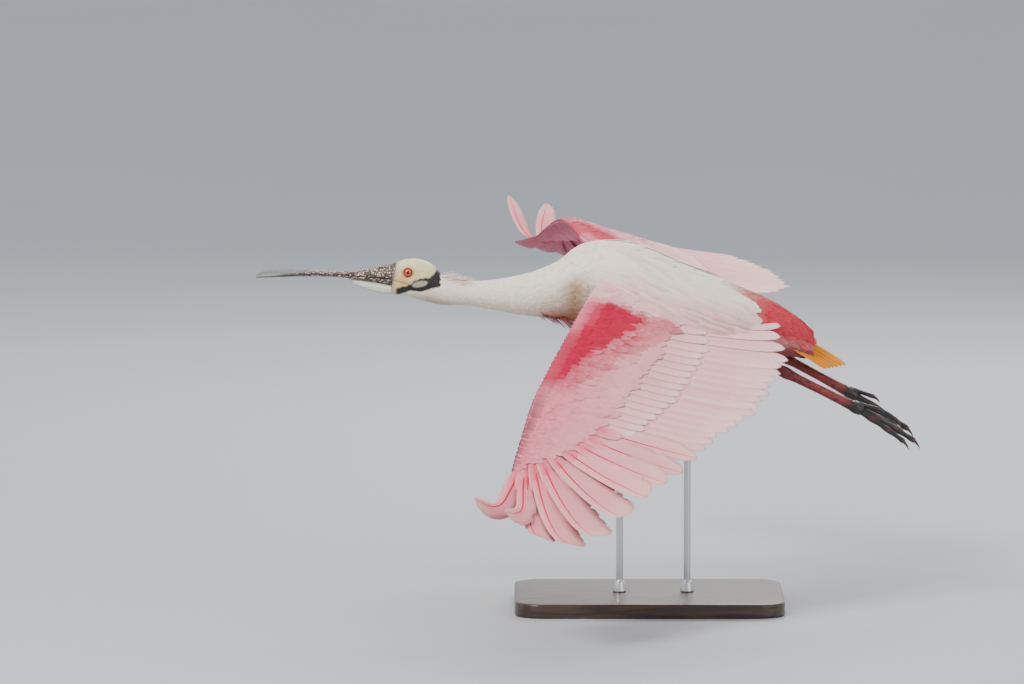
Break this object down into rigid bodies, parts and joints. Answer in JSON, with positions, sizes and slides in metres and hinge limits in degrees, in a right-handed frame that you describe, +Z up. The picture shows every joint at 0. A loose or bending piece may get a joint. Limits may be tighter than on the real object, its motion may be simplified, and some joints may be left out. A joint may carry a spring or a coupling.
{
  "type": "roseate spoonbill",
  "caption": "Roseate spoonbill in level flight, life-size display model with wings spread low, legs trailing and a spoon-shaped bill, on a flat base with rods.",
  "frame": {"origin": "centre of the stand base's underside, on the floor", "axes": "+Z up; the bird flies towards -X, and its left wing is on the -Y side"},
  "size_m": [0.8637, 0.9975, 0.4939],
  "materials": {
    "bare_skin": "matt bare skin, pale greenish yellow with black behind the ear",
    "bill": "horn, grey at the tip and mottled black and pinkish cream at the base",
    "eye": "wet, red iris with a black pupil",
    "body_plumage": "white to palest pink body feathers",
    "wing_plumage": "pink flight feathers and coverts with a carmine patch and red shafts",
    "tail_plumage": "orange tail feathers under crimson coverts",
    "thigh_plumage": "dark red feathers",
    "leg_skin": "scaled skin, dull red with dark mottling",
    "foot_skin": "scaled skin, near black, slightly glossy",
    "base_wood": "dark stained wood, satin",
    "rod_steel": "satin steel rod"
  },
  "bodies": {
    "root": {"head": "bare_skin", "bill_upper": "bill", "bill_lower": "bill", "gular_pouch": "bare_skin", "eye_left": "eye", "eye_right": "eye", "neck_upper": "body_plumage", "neck_lower": "body_plumage", "torso": "body_plumage", "tail": "tail_plumage", "wing_left": "wing_plumage", "wing_right": "wing_plumage", "leg_left_tibia": "thigh_plumage", "leg_right_tibia": "thigh_plumage", "leg_left_tarsus": "leg_skin", "leg_right_tarsus": "leg_skin", "foot_left": "foot_skin", "foot_right": "foot_skin", "stand_base": "base_wood", "stand_rod_front": "rod_steel", "stand_rod_rear": "rod_steel"}
  },
  "joints": []
}
